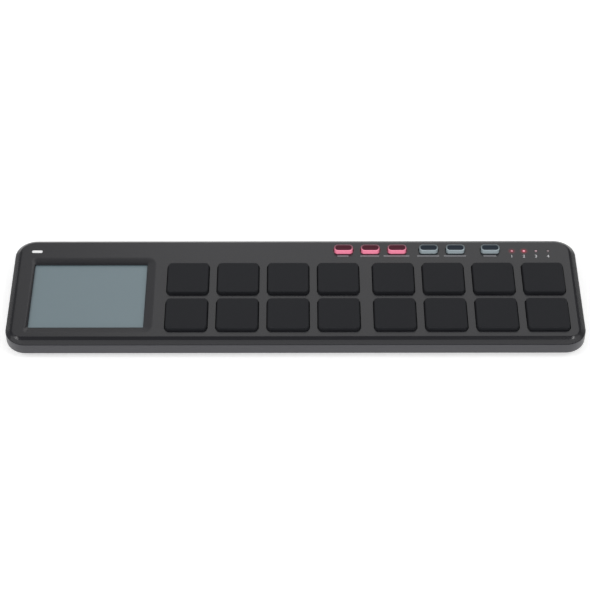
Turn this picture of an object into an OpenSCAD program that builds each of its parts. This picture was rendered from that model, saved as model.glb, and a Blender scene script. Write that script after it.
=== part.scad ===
// Flat pad controller: a two-shell case that carries sixteen pressure pads, a recessed
// touch surface, six lit push buttons, four channel lights and a power light.
// Millimetres. X runs to the right, Y to the back and Z up. The origin lies on the ground
// under the middle of the case.

/* [Case] */
// Corner radius of the case in plan
corner_r = 12; // [11:0.5:14]
// Thickness of the floor and of the sloping belly
floor_t = 2; // [1.6:0.1:2.4]
// Thickness of the upright wall
wall_t = 2.2; // [1.8:0.1:2.6]
// Height of the belly that slopes in under the wall
belly_h = 3.1; // [2.8:0.1:3.6]
// How far the belly slopes in
belly_run = 5; // [4:0.1:6]
// Height of the upright wall
wall_h = 6.7; // [6.2:0.1:7.6]
// Open shut line between the two shells
shut_gap = 0.2; // [0.1:0.05:0.5]
// Width of the shoulder above the shut line
shoulder_run = 2.2; // [1.5:0.1:3]
// Height of the shoulder
shoulder_rise = 1.8; // [1.6:0.1:2.6]
// Width of the slope between the shoulder and the panel
slope_run = 1.8; // [1.4:0.1:3]
// Height of that slope
slope_rise = 0.9; // [0.7:0.1:1.6]
// Thickness of the top panel
panel_t = 2; // [1.6:0.1:2.4]
// Thickness of the locating tongue round the top cover
tongue_t = 1.5; // [1:0.1:2]
// How far the tongue reaches down inside the wall
tongue_drop = 2; // [1:0.1:2.5]
// Gap between the tongue and the wall
tongue_clear = 0.3; // [0.1:0.05:0.5]

/* [Layout] */
// From the left side of the case to the touch surface
left_margin = 12.6; // [12:0.1:20]
// From the touch surface to the first pad opening
middle_gap = 11.8; // [11.5:0.1:20]
// From the last pad opening to the right side
right_margin = 8.6; // [8:0.1:14]
// From the front of the case to the pad openings
front_margin = 8.1; // [6.8:0.1:12]
// From the pad openings to the back of the case
control_strip = 21.9; // [21.5:0.1:28]
// From the front of the case to the touch surface
touch_front = 11.8; // [11.5:0.1:16]
// From the touch surface to the back of the case
touch_back = 20.9; // [20.5:0.1:26]
// From the back of the case to the middle of the buttons
button_back = 10.4; // [10.2:0.1:11]
// From the right side to the first button
button_right = 134.6; // [130:0.1:138]
// From the back of the case to the lights
light_back = 11.2; // [10.8:0.1:12]
// From the right side to the last channel light
light_right = 16; // [15.5:0.1:16.5]
// From the left side to the power light
power_left = 12.8; // [12.4:0.1:16]
// From the left side to the middle of the cable port
port_left = 42.5; // [36:0.5:44]

/* [Pads] */
// Side of a square pad opening
pad_opening = 24.3; // [23:0.1:27]
// Bar between two neighbouring openings in a row
pad_gap = 4.3; // [3.4:0.1:6]
// Bar between the two rows of openings
row_gap = 3.9; // [3.4:0.1:6]
// Wider bar between the two groups of pads
centre_gap = 7.2; // [6.5:0.1:10]
// Gap round a pad in its opening
pad_clear = 0.3; // [0.2:0.05:0.6]
// How far a pad stands above the panel
pad_proud = 2.1; // [1.5:0.1:3]
// Corner radius of a pad in plan
pad_corner_r = 2.4; // [1.8:0.1:4]
// Rounding of a pad's top edge
pad_edge_r = 1.5; // [0.6:0.1:1.7]
// Width of the pad flange that is trapped under the panel
pad_lip = 0.9; // [0.6:0.1:1.2]
// Press travel of a pad
pad_travel = 1; // [0.6:0.1:1.2]

/* [Touch surface] */
// Width of the touch surface
touch_w = 64.6; // [56:0.1:72]
// Depth of the touch surface
touch_d = 49.8; // [42:0.1:56]
// Width of the bevel round the touch surface
bevel_run = 4.2; // [2:0.1:5]
// Depth of that bevel
bevel_depth = 0.7; // [0.5:0.1:1]
// Upright step at the foot of the bevel
touch_step = 1.1; // [0.8:0.1:1.3]
// How far the touch film tucks under the step
touch_tuck = 1.3; // [0.8:0.1:1.6]
// Thickness of the touch film
touch_film_t = 0.4; // [0.3:0.1:0.6]
// Thickness of the touch sensor board
touch_board_t = 1.2; // [0.8:0.1:1.4]
// Thickness of the backing plate
backing_t = 0.8; // [0.6:0.1:1.2]
// Width of the touch surface's ribbon cable
ribbon_w = 12; // [8:0.5:16]

/* [Buttons] */
// Length of a button
button_w = 10.8; // [9.5:0.1:11.6]
// Depth of a button
button_d = 5; // [4.6:0.1:6]
// Corner radius of a button in plan
button_r = 2; // [1.5:0.1:2.2]
// Distance between neighbouring buttons
button_pitch = 15.5; // [15:0.1:17]
// Extra gap after the third button
group_gap_1 = 2.8; // [2:0.1:4]
// Extra gap after the fifth button
group_gap_2 = 4.7; // [3:0.1:4.8]
// Gap round a button in its opening
button_clear = 0.35; // [0.2:0.05:0.5]
// How far a button stands above the panel
button_proud = 2.3; // [2:0.1:3.5]
// Press travel of a button
button_travel = 0.8; // [0.4:0.1:1]
// Rim left in front of the cap
cap_rim_front = 0.4; // [0.3:0.05:1]
// Rim left behind the cap
cap_rim_back = 0.8; // [0.3:0.05:1]
// Rim left at the two ends of the cap
cap_rim_w = 0.7; // [0.4:0.05:1]
// Thickness of the button cap
cap_t = 0.9; // [0.6:0.1:1.4]

/* [Lights] */
// Diameter of a channel light
light_d = 1.8; // [1.4:0.1:2.2]
// Distance between channel lights
light_pitch = 7; // [6:0.1:7.4]
// Length of the power light
power_w = 6; // [5:0.1:7]
// Depth of the power light
power_d = 2; // [1.8:0.1:3]
// Corner radius of the power light
power_r = 0.7; // [0.4:0.1:0.8]
// Gap round a light in its hole
light_clear = 0.1; // [0.05:0.05:0.2]

/* [Inside] */
// Height of the circuit board above the floor
board_gap = 2.4; // [2:0.1:2.6]
// Thickness of the circuit board
board_t = 1.6; // [1.2:0.1:1.8]
// Thickness of the pressure film
film_t = 0.3; // [0.2:0.1:0.4]
// Thickness of the rubber webs under the pads and buttons
web_t = 0.8; // [0.6:0.1:0.9]
// Thickness of the pads' and buttons' flanges
flange_t = 1.6; // [1.2:0.1:1.8]
// Rest gap between a flange and the panel
flange_gap = 0.3; // [0.2:0.05:0.5]
// Gap left under a foot at full travel
press_gap = 0.1; // [0.05:0.05:0.2]

/* [Screws, port and feet] */
// Diameter of a screw's shank
screw_d = 1.96; // [1.8:0.02:2.2]
// Diameter of a screw's head
screw_head_d = 3.8; // [3.4:0.1:4]
// Height of a screw's head
screw_head_h = 1.4; // [1:0.1:1.5]
// Outer diameter of a screw boss
boss_d = 4.2; // [3.8:0.1:4.4]
// Width of the cable socket
socket_w = 7.7; // [7:0.1:8]
// Height of the cable socket
socket_h = 3.9; // [3.4:0.1:4]
// Depth of the cable socket
socket_depth = 9.2; // [8.5:0.1:10]
// Width of the port in the back wall
port_w = 10.6; // [9:0.1:11]
// Height of the port
port_h = 4.8; // [4.4:0.1:4.9]
// Diameter of a rubber foot
foot_d = 10; // [8:0.5:12]
// How far a foot stands below the floor
foot_h = 1; // [0.6:0.1:2]
// From a side of the case to the middle of a foot
foot_side = 24.5; // [20:0.5:30]
// From the front or back of the case to the middle of a foot
foot_end = 15.5; // [13:0.5:18]

/* [Hidden] */
$fn = 48;
pad_columns = 8;
pad_count = 2 * pad_columns;
button_count = 6;
lit_buttons = 3;
light_count = 4;
frame_wall = 2.5;
fit_clear = 0.2;
skirt_t = 0.8;
rib_t = 1.2;
foot_sunk = 0.6;
port_lip = 1.2;
connector_d = 4;
board_margin = 6;
led_t = 0.8;
shell_t = 0.35;

// Plan sizes that follow from what the case holds
pad_pitch = pad_opening + pad_gap;
row_pitch = pad_opening + row_gap;
pads_w = pad_columns * pad_opening + (pad_columns - 2) * pad_gap + centre_gap;
body_w = left_margin + touch_w + middle_gap + pads_w + right_margin;
body_d = max(front_margin + 2 * pad_opening + row_gap + control_strip, touch_front + touch_d + touch_back);
right_x = body_w / 2;
back_y = body_d / 2;

// Levels, from the ground up
base_z = foot_h;
floor_z = base_z + floor_t;
wall_low_z = base_z + belly_h;
wall_top_z = wall_low_z + wall_h;
shoulder_z = wall_top_z + shoulder_rise;
panel_z = shoulder_z + slope_rise;
under_z = panel_z - panel_t;
board_z = floor_z + board_gap;
board_top = board_z + board_t;
film_top = board_top + film_t;
flange_top = under_z - flange_gap;
flange_low = flange_top - flange_t;
pad_top = panel_z + pad_proud;
pad_foot_z = film_top + pad_travel + press_gap;
button_top = panel_z + button_proud;
button_foot_z = board_top + button_travel + press_gap;
touch_z = panel_z - bevel_depth - touch_step;
touch_board_z = touch_z - touch_film_t - touch_board_t;
backing_z = touch_board_z - backing_t;
boss_joint_z = board_z - 0.4;
port_z = wall_top_z - shut_gap - port_lip - port_h / 2;

// Places in plan
first_pad_x = right_x - right_margin - pads_w + pad_opening / 2;
front_pad_y = -back_y + front_margin + pad_opening / 2;
touch_x = -right_x + left_margin + touch_w / 2;
touch_y = -back_y + touch_front + touch_d / 2;
button_y = back_y - button_back;
light_y = back_y - light_back;
power_x = -right_x + power_left;
port_x = -right_x + port_left;
middle_x = right_x - right_margin - pads_w / 2;
pads_left = first_pad_x - pad_opening / 2;
pads_back = front_pad_y + row_pitch + pad_opening / 2;
frame_rim = touch_tuck + fit_clear + frame_wall;
frame_w = touch_w + 2 * frame_rim;
frame_d = touch_d + 2 * frame_rim;
gap_x = (touch_x + frame_w / 2 + pads_left - pad_lip) / 2;
strip_y = button_y - 2.5;
ribbon_x = touch_x + touch_w / 4 + 7;
board_edge = board_margin + 1;
board_left = pads_left - 2;
board_back = back_y - board_margin;

// Sizes that follow from a fit
pad_w = pad_opening - 2 * pad_clear;
pad_flange_w = pad_opening + 2 * pad_lip;
pad_foot_w = pad_opening - 6.8;
pad_skirt_w = pad_opening - 2.4;
cap_w = button_w - 2 * cap_rim_w;
cap_d = button_d - cap_rim_front - cap_rim_back;
cap_r = button_r - cap_rim_front;
cap_shift = (cap_rim_front - cap_rim_back) / 2;
lens_flange = 0.9;
lens_foot = [6.4, 3.2];
lens_hollow = [4.4, 2];
pilot_d = screw_d + 0.04;
screw_pass_d = screw_d + 0.4;
head_pass_d = screw_head_d + 0.6;
boss_pass_d = boss_d + 0.8;
socket_face_y = back_y - wall_t - fit_clear;

case_screw_at = [
    [port_x + 11, strip_y + 3.4],
    [first_pad_x + 0.75 * pad_pitch, strip_y + 3.4],
    [middle_x - pad_pitch, strip_y + 3.4],
    [right_x - 10.7, back_y - 10.5],
    [-right_x + 10.5, -back_y + 7.9],
    [gap_x, -back_y + 10.5],
    [middle_x, -back_y + 10],
    [middle_x, pads_back - 3]
];
board_screw_at = [
    [port_x - 16, strip_y + 3],
    [board_left + 8, strip_y],
    [middle_x - 1.7 * pad_pitch, strip_y],
    [right_x - light_right - 1.5 * light_pitch, light_y - 6.7],
    [middle_x, front_pad_y + row_pitch / 2]
];
foot_at = [for (sx = [-1, 1], sy = [-1, 1]) [sx * (right_x - foot_side), sy * (back_y - foot_end)]];

function pad_at(k) = let (col = (k - 1) % pad_columns, row = floor((k - 1) / pad_columns))
    [first_pad_x + col * pad_pitch + (col < pad_columns / 2 ? 0 : centre_gap - pad_gap),
     front_pad_y + row * row_pitch];

function button_at(k) =
    let (gaps = (k > 3 ? group_gap_1 : 0) + (k > 5 ? group_gap_2 : 0))
    [right_x - button_right + (k - 1) * button_pitch + gaps, button_y];

function light_at(k) = [right_x - light_right - (light_count - k) * light_pitch, light_y];

function arc(centre, r, a0, a1, steps) =
    [for (i = [0 : steps]) centre + r * [cos(a0 + (a1 - a0) * i / steps), sin(a0 + (a1 - a0) * i / steps)]];

// Flat outline shapes

module rounded_rect(w, d, r) {
    square([w - 2 * r, d], center = true);
    square([w, d - 2 * r], center = true);
    for (sx = [-1, 1], sy = [-1, 1]) {
        translate([sx * (w / 2 - r), sy * (d / 2 - r)]) circle(r);
    }
}

module slab(at, w, d, z0, z1) {
    translate([at.x - w / 2, at.y - d / 2, z0]) cube([w, d, z1 - z0]);
}

module post(at, d, z0, z1) {
    translate([at.x, at.y, z0]) cylinder(d = d, h = z1 - z0);
}

module rounded_post(at, w, d, r, z0, z1) {
    translate([at.x, at.y, z0]) linear_extrude(z1 - z0) rounded_rect(w, d, r);
}

// Post in a button's plan, grown by an even margin on all sides
module button_post(k, margin, z0, z1) {
    rounded_post(button_at(k), button_w + 2 * margin, button_d + 2 * margin, button_r + margin, z0, z1);
}

module cap_post(k, margin, z0, z1) {
    at = button_at(k) + [0, cap_shift];
    rounded_post(at, cap_w + 2 * margin, cap_d + 2 * margin, cap_r + margin, z0, z1);
}

module power_post(margin, z0, z1) {
    at = [power_x, light_y];
    rounded_post(at, power_w + 2 * margin, power_d + 2 * margin, power_r + margin, z0, z1);
}

module touch_sheet(z0, z1, room = 0) {
    slab([touch_x, touch_y], touch_w + 2 * (touch_tuck + room), touch_d + 2 * (touch_tuck + room), z0, z1);
}

// Plate whose edge follows a profile all the way round. The profile lists [inset, z] points
// from the plate's underside, out round its edge and back to its top, both ends at inset r.
module profiled_plate(w, d, r, profile) {
    low = profile[0].y;
    high = profile[len(profile) - 1].y;
    translate([r - w / 2, r - d / 2, low]) cube([w - 2 * r, d - 2 * r, high - low]);
    for (side = [0 : 3]) {
        along = side % 2 == 0 ? w : d;
        across = side % 2 == 0 ? d : w;
        rotate([0, 0, 90 * side]) {
            translate([r - along / 2, -across / 2, 0]) rotate([90, 0, 90])
                linear_extrude(along - 2 * r) polygon(profile);
            translate([r - along / 2, r - across / 2, 0]) rotate([0, 0, 180])
                rotate_extrude(angle = 90) polygon([for (p = profile) [r - p.x, p.y]]);
        }
    }
}

// Four-sided funnel that narrows from the panel down to the touch surface
module touch_bevel() {
    top_z = panel_z + 0.5;
    run = bevel_run * (1 + 0.5 / bevel_depth);
    low_z = panel_z - bevel_depth;
    half = [touch_w / 2, touch_d / 2];
    translate([touch_x, touch_y, 0]) intersection() {
        rotate([90, 0, 0]) linear_extrude(2 * touch_d, center = true) polygon([
            [-half.x, low_z], [half.x, low_z], [half.x + run, top_z], [-half.x - run, top_z]
        ]);
        rotate([90, 0, 90]) linear_extrude(2 * touch_w, center = true) polygon([
            [-half.y, low_z], [half.y, low_z], [half.y + run, top_z], [-half.y - run, top_z]
        ]);
    }
}

// Case

module top_cover() {
    tongue_u = wall_t + tongue_clear;
    tongue_z = wall_top_z - tongue_drop;
    color("#454549") difference() {
        union() {
            profiled_plate(body_w, body_d, corner_r, [
                [corner_r, under_z],
                [tongue_u + tongue_t, under_z],
                [tongue_u + tongue_t, tongue_z],
                [tongue_u, tongue_z],
                [tongue_u, wall_top_z],
                [0, wall_top_z],
                [shoulder_run, shoulder_z],
                [shoulder_run + slope_run, panel_z],
                [corner_r, panel_z]
            ]);
            slab([touch_x, touch_y], frame_w, frame_d, touch_board_z, under_z);
            for (at = case_screw_at) {
                post(at, boss_d, boss_joint_z, under_z);
            }
        }
        for (k = [1 : pad_count]) {
            translate([pad_at(k).x, pad_at(k).y, under_z - 1]) linear_extrude(panel_t + 2)
                rounded_rect(pad_opening, pad_opening, pad_corner_r + pad_clear);
        }
        for (k = [1 : button_count]) {
            button_post(k, button_clear, under_z - 1, panel_z + 1);
        }
        for (k = [1 : light_count]) {
            post(light_at(k), light_d + 2 * light_clear, under_z - 1, panel_z + 1);
        }
        power_post(light_clear, under_z - 1, panel_z + 1);
        touch_bevel();
        slab([touch_x, touch_y], touch_w, touch_d, touch_z - 1, panel_z);
        touch_sheet(touch_board_z - 1, touch_z, fit_clear);
        for (at = case_screw_at) {
            post(at, pilot_d, boss_joint_z - 1, under_z - fit_clear);
        }
        slab([port_x, back_y - tongue_u], port_w + 2, 2 * tongue_t + 1, tongue_z - 1, under_z - 1);
    }
}

module bottom_cover() {
    belly_l = norm([belly_run, belly_h]);
    inner_shift = floor_t * belly_l / belly_h;
    color("#5a5a5e") difference() {
        union() {
            profiled_plate(body_w, body_d, corner_r, [
                [corner_r, base_z],
                [belly_run, base_z],
                [0, wall_low_z],
                [0, wall_top_z - shut_gap],
                [wall_t, wall_top_z - shut_gap],
                [wall_t, base_z + belly_h * (1 - (wall_t - inner_shift) / belly_run)],
                [belly_run * (1 - floor_t / belly_h) + inner_shift, floor_z],
                [corner_r, floor_z]
            ]);
            for (at = case_screw_at) {
                post(at, boss_d, base_z + 0.5, boss_joint_z);
                post(at, head_pass_d + 1.6, base_z + 0.5, floor_z + 0.6);
            }
            for (at = board_screw_at) {
                post(at, boss_d, base_z + 0.5, board_z);
            }
            for (k = [1 : pad_columns - 1]) {
                slab([(pad_at(k).x + pad_at(k + 1).x) / 2, front_pad_y], rib_t, pad_opening - 11,
                     floor_z - 0.5, board_z);
            }
            for (i = [-1 : 1]) {
                slab([touch_x, touch_y + i * touch_d / 3], touch_w - 4, rib_t, floor_z - 0.5, backing_z);
            }
        }
        for (at = case_screw_at) {
            post(at, head_pass_d, base_z - 1, base_z + fit_clear + screw_head_h);
            post(at, screw_pass_d, base_z - 1, boss_joint_z + 1);
        }
        for (at = board_screw_at) {
            post(at, pilot_d, floor_z, board_z + 1);
        }
        for (at = foot_at) {
            post(at, foot_d + 0.3, base_z - 1, base_z + foot_sunk);
        }
        slab([port_x, back_y - wall_t / 2], port_w, wall_t + 3, port_z - port_h / 2, port_z + port_h / 2);
    }
}

module rubber_feet() {
    color("#1f1f21") for (at = foot_at) {
        post(at, foot_d, 0, base_z + foot_sunk);
    }
}

module screw(at, head_z, up, length) {
    translate([at.x, at.y, head_z]) mirror([0, 0, up ? 0 : 1]) difference() {
        union() {
            cylinder(d = screw_head_d, h = screw_head_h);
            cylinder(d = screw_d, h = screw_head_h + length);
        }
        for (turn = [0, 90]) {
            rotate([0, 0, turn]) translate([-1, -0.25, -0.1]) cube([2, 0.5, 0.8]);
        }
    }
}

module case_screws() {
    color("#8d9094") for (at = case_screw_at) {
        screw(at, base_z + fit_clear, true, under_z - base_z - screw_head_h - 3 * fit_clear);
    }
}

module board_screws() {
    color("#b9bcc0") for (at = board_screw_at) {
        screw(at, board_top + screw_head_h, false, board_t + board_gap - fit_clear);
    }
}

// Touch surface

module touch_film() {
    color("#7a888e") touch_sheet(touch_z - touch_film_t, touch_z);
}

module touch_sensor_board() {
    color("#2f5d46") touch_sheet(touch_board_z, touch_z - touch_film_t);
}

module touch_backing_plate() {
    notch = touch_d / 4;
    back = touch_y + touch_d / 2 + touch_tuck;
    color("#a9adb1") difference() {
        touch_sheet(backing_z, touch_board_z);
        slab([ribbon_x, back], ribbon_w + 1, 2 * notch, backing_z - 1, touch_board_z + 1);
    }
}

module touch_ribbon() {
    thick = 0.3;
    start_y = touch_y + touch_d / 2 - 8;
    bend_y = touch_y + frame_d / 2 + 0.5;
    end_y = strip_y + 1;
    high = touch_board_z;
    low = board_top + 0.5;
    color("#c98a3c") translate([ribbon_x, 0, 0]) rotate([90, 0, 90]) linear_extrude(ribbon_w, center = true)
        polygon([
            [start_y, high - thick], [bend_y, high - thick], [end_y - 1, low], [end_y + 1.5, low],
            [end_y + 1.5, low + thick], [end_y - 0.9, low + thick], [bend_y + 0.1, high], [start_y, high]
        ]);
}

module ribbon_connector() {
    low = board_top + 0.5;
    color("#e8e4d8") difference() {
        slab([ribbon_x, strip_y + 3], ribbon_w + 3, connector_d, board_top, board_top + 1.2);
        slab([ribbon_x, strip_y + 1], ribbon_w + 0.2, 3, low, low + 0.3);
    }
}

// Circuit board and what sits on it

module main_board() {
    strip_left = -right_x + board_edge + 1.5;
    strip_front = strip_y - 2.1;
    right_end = right_x - board_edge;
    front_end = -back_y + board_margin;
    socket_bay = board_back - socket_face_y + socket_depth + fit_clear;
    color("#1f5a3c") difference() {
        translate([0, 0, board_z]) linear_extrude(board_t) polygon([
            [strip_left, board_back], [strip_left, strip_front], [board_left, strip_front],
            [board_left, front_end], [right_end, front_end], [right_end, board_back]
        ]);
        for (at = case_screw_at) {
            post(at, boss_pass_d, board_z - 1, board_top + 1);
        }
        for (at = board_screw_at) {
            post(at, screw_pass_d, board_z - 1, board_top + 1);
        }
        slab([port_x, board_back], socket_w + 2 * fit_clear, 2 * socket_bay, board_z - 1, board_top + 1);
    }
}

module pads_sheet(z0, z1) {
    edge = 1;
    pads_d = 2 * pad_opening + row_gap;
    difference() {
        slab([middle_x, front_pad_y + row_pitch / 2], pads_w + 2 * edge, pads_d + 2 * edge, z0, z1);
        for (at = [case_screw_at[6], case_screw_at[7]]) {
            post(at, boss_pass_d, z0 - 1, z1 + 1);
        }
        post(board_screw_at[4], screw_head_d + 2 * fit_clear, z0 - 1, z1 + 1);
    }
}

module pad_sensor_film() {
    color("#c9a35a") pads_sheet(board_top, film_top);
}

module pad_mat() {
    bay_w = pad_skirt_w - 2 * skirt_t;
    color("#55565a") difference() {
        union() {
            pads_sheet(film_top, film_top + web_t);
            for (k = [1 : pad_count]) {
                slab(pad_at(k), pad_skirt_w, pad_skirt_w, film_top, flange_low);
            }
        }
        for (k = [1 : pad_count]) {
            slab(pad_at(k), bay_w, bay_w, film_top - 1, flange_low + 1);
        }
    }
}

module button_mat() {
    web_z = board_top + web_t;
    first = button_at(1).x;
    last = button_at(button_count).x;
    skirt_margin = 0.3;
    color("#66676b") difference() {
        union() {
            slab([(first + last) / 2, button_y], last - first + button_w + 4, button_d + 3,
                 board_top, web_z);
            for (k = [1 : button_count]) {
                button_post(k, skirt_margin, board_top, flange_low);
            }
        }
        for (k = [1 : button_count]) {
            button_post(k, skirt_margin - skirt_t, board_top - 1, flange_low + 1);
        }
    }
}

module button_leds() {
    color("#f2e9c8") for (k = [1 : button_count]) {
        slab(button_at(k), 3, 1.4, board_top, board_top + led_t);
    }
}

module channel_leds() {
    color("#f2e9c8") for (k = [1 : light_count]) {
        slab(light_at(k), 1.6, 0.8, board_top, board_top + led_t);
    }
}

module power_led() {
    color("#f2e9c8") slab([power_x, light_y], 3, 1.4, board_top, board_top + led_t);
}

module controller_chip() {
    at = [middle_x - 2.25 * pad_pitch, strip_y];
    color("#232427") union() {
        slab(at, 10, 10, board_top + 0.15, board_top + 1.4);
        for (i = [-4 : 4], turn = [0 : 3]) {
            translate([at.x, at.y, board_top]) rotate([0, 0, 90 * turn])
                translate([4.6, i - 0.2, 0]) cube([1.4, 0.4, 0.35]);
        }
    }
}

module crystal() {
    color("#c4c7ca") rounded_post([board_left + 20, strip_y], 11, 4.5, 2.2, board_top, board_top + 3.5);
}

// Lights

module channel_lights() {
    color("#c9aeb2") for (k = [1 : light_count]) {
        post(light_at(k), light_d, board_top + led_t + fit_clear, panel_z + 0.15);
        post(light_at(k), light_d + 1.2, under_z - 0.8, under_z);
    }
}

module power_lens() {
    color("#f4f7fb") {
        power_post(0, board_top + led_t + fit_clear, panel_z + 0.15);
        power_post(0.8, under_z - 0.8, under_z);
    }
}

// Cable socket

module usb_socket_shell() {
    inner = [socket_w - 2 * shell_t, socket_h - 2 * shell_t];
    centre_y = socket_face_y - socket_depth / 2;
    color("#b4b7ba") difference() {
        union() {
            slab([port_x, centre_y], socket_w, socket_depth, port_z - socket_h / 2, port_z + socket_h / 2);
            slab([port_x, centre_y - 1.5], socket_w + 3, 2, board_top, board_top + 0.4);
        }
        slab([port_x, centre_y + 1], inner.x, socket_depth, port_z - inner.y / 2, port_z + inner.y / 2);
    }
}

module usb_socket_insert() {
    inner = [socket_w - 2 * shell_t - 0.1, socket_h - 2 * shell_t - 0.1];
    back = socket_face_y - socket_depth + 1;
    color("#1d1d1f") union() {
        slab([port_x, back + 1], inner.x, 2, port_z - inner.y / 2, port_z + inner.y / 2);
        slab([port_x, back + 3.5], inner.x - 2.6, 7, port_z - 0.1, port_z + 0.9);
    }
}

// Pads and buttons

module pad(k) {
    color("#2e2e31") translate([pad_at(k).x, pad_at(k).y, 0]) union() {
        profiled_plate(pad_w, pad_w, pad_corner_r, concat(
            [[pad_corner_r, flange_low], [0, flange_low]],
            arc([pad_edge_r, pad_top - pad_edge_r], pad_edge_r, 180, 90, 4),
            [[pad_corner_r, pad_top]]
        ));
        translate([0, 0, flange_low]) linear_extrude(flange_t) square(pad_flange_w, center = true);
        slab([0, 0], pad_foot_w, pad_foot_w, pad_foot_z, flange_low + 0.1);
    }
}

module button_lens(k) {
    at = button_at(k);
    color(k <= lit_buttons ? "#f294ae" : "#9ba5a9") difference() {
        union() {
            button_post(k, 0, flange_low, button_top);
            button_post(k, lens_flange, flange_low, flange_top);
            slab(at, lens_foot.x, lens_foot.y, button_foot_z, flange_low + 0.1);
        }
        slab(at, lens_hollow.x, lens_hollow.y, button_foot_z - 1, flange_low);
        cap_post(k, 0.05, button_top - cap_t, button_top + 1);
    }
}

module button_cap(k) {
    color(k <= lit_buttons ? "#4e2f35" : "#32373e") cap_post(k, 0, button_top - cap_t, button_top);
}

top_cover();
bottom_cover();
rubber_feet();
case_screws();
board_screws();
touch_film();
touch_sensor_board();
touch_backing_plate();
touch_ribbon();
ribbon_connector();
main_board();
pad_sensor_film();
pad_mat();
button_mat();
button_leds();
channel_leds();
channel_lights();
power_led();
power_lens();
usb_socket_shell();
usb_socket_insert();
controller_chip();
crystal();
for (k = [1 : pad_count]) {
    pad(k);
}
for (k = [1 : button_count]) {
    button_lens(k);
    button_cap(k);
}
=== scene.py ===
# %% [markdown]
# A slim pad controller: sixteen rubber pads, a sunken touch surface, six lit buttons and a
# few indicator lights in a two-shell plastic case. The solids already hold every size and
# place, so this lesson only dresses them. Each visible part is built again as a smooth
# numpy surface, with the small rounded edges that catch the light, and every part gets the
# finish of its real material.

from math import pi, radians

import bmesh
import bpy
import numpy as np
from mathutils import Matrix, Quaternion, Vector
from mathutils.geometry import delaunay_2d_cdt


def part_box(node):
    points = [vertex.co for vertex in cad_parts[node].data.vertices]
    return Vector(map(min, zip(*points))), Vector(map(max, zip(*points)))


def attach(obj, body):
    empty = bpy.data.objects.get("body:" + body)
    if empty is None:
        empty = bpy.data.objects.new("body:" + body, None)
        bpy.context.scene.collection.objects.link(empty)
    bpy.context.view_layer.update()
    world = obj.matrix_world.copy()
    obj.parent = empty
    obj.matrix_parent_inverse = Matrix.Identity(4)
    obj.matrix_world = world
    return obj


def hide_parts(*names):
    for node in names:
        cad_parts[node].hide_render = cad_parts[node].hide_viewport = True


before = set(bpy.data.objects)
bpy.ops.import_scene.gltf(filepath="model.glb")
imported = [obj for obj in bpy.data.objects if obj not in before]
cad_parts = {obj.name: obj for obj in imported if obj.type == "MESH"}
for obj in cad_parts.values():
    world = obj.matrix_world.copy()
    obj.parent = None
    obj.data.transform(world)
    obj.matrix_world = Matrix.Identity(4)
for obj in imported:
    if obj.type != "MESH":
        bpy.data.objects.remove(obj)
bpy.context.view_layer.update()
MM = 0.001
scene = bpy.context.scene

# %% [markdown]
# The camera comes first. The picture was taken from the front, about 46 degrees above the table,
# with a long lens from a little over a metre away. A long lens keeps the left and right sides
# nearly parallel, which is why the case looks so calm. The focal length was fitted in pixels.
# Blender wants it in millimetres on a sensor that spans the picture's longer side, so it is scaled
# here.

# %% Camera
PHOTO_LONG_SIDE = 591
FOCAL_PIXELS = 1966
SENSOR_MM = 36
CAMERA_ELEVATION = radians(45.96)
CAMERA_DISTANCE = 1120.1 * MM
CAMERA_ROLL = radians(-0.07)
AIM = Vector((-0.27, -2.5, 10.3)) * MM

camera_data = bpy.data.cameras.new("camera")
camera_data.sensor_width = SENSOR_MM
camera_data.lens = SENSOR_MM * FOCAL_PIXELS / PHOTO_LONG_SIDE
camera_data.dof.use_dof = False
camera = bpy.data.objects.new("camera", camera_data)
scene.collection.objects.link(camera)
sight = Vector((0, -np.cos(CAMERA_ELEVATION), np.sin(CAMERA_ELEVATION)))
camera.location = AIM + CAMERA_DISTANCE * sight
turn = sight.to_track_quat("Z", "Y") @ Quaternion((0, 0, 1), CAMERA_ROLL)
camera.rotation_euler = turn.to_euler()
scene.camera = camera
print("lens:", round(camera_data.lens, 1), "mm")

# %% [markdown]
# Nearly every part of this object is a closed outline with a profile carried round it: the
# case, a pad, a button, a light, even the edge of a hole. Blocks with a Bevel modifier could
# give these too, but then every radius on a block is the same. Here an outline is a rounded
# rectangle with its outward normals, and a profile is a list of (inset, height) corners,
# each softened by its own radius. Carrying one round the other gives a stack of rings, and
# quads join neighbouring rings.

# %% Outlines and profiles
def rounded_outline(width, depth, radius, centre=(0, 0), steps=12):
    """Rounded rectangle, anticlockwise: corner centre plus radius times (cos, sin) of the
    turn angle, with steps + 1 points in each quarter. The (cos, sin) pairs are the normals."""
    turn = np.arange(4)[:, None] * pi / 2 + np.linspace(0, pi / 2, steps + 1)
    normal = np.stack([np.cos(turn), np.sin(turn)], axis=-1).reshape(-1, 2)
    side = np.repeat([[1, 1], [-1, 1], [-1, -1], [1, -1]], steps + 1, axis=0)
    middle = side * (np.array([width, depth]) / 2 - radius)
    return middle + radius * normal + np.asarray(centre), normal


def softened(corners, radii, steps=5):
    """Polyline with rounded corners: each inner corner is cut back by its radius times the
    tangent of half its turn, and a quadratic curve that aims at the corner bridges the cut."""
    points = np.asarray(corners, float)
    corner = points[1:-1]
    back = points[:-2] - corner
    ahead = points[2:] - corner
    back /= np.linalg.norm(back, axis=1, keepdims=True)
    ahead /= np.linalg.norm(ahead, axis=1, keepdims=True)
    half_turn = (pi - np.arccos(np.clip((back * ahead).sum(1), -1, 1))) / 2
    cut_back = (np.asarray(radii) * np.tan(half_turn))[:, None, None]
    t = np.linspace(0, 1, steps)[None, :, None]
    arc = corner[:, None] + cut_back * (back[:, None] * (1 - t) ** 2 + ahead[:, None] * t**2)
    return np.vstack([points[:1], arc.reshape(-1, 2), points[-1:]])


print("points round an outline:", len(rounded_outline(2, 1, 0.2)[0]))

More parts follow.
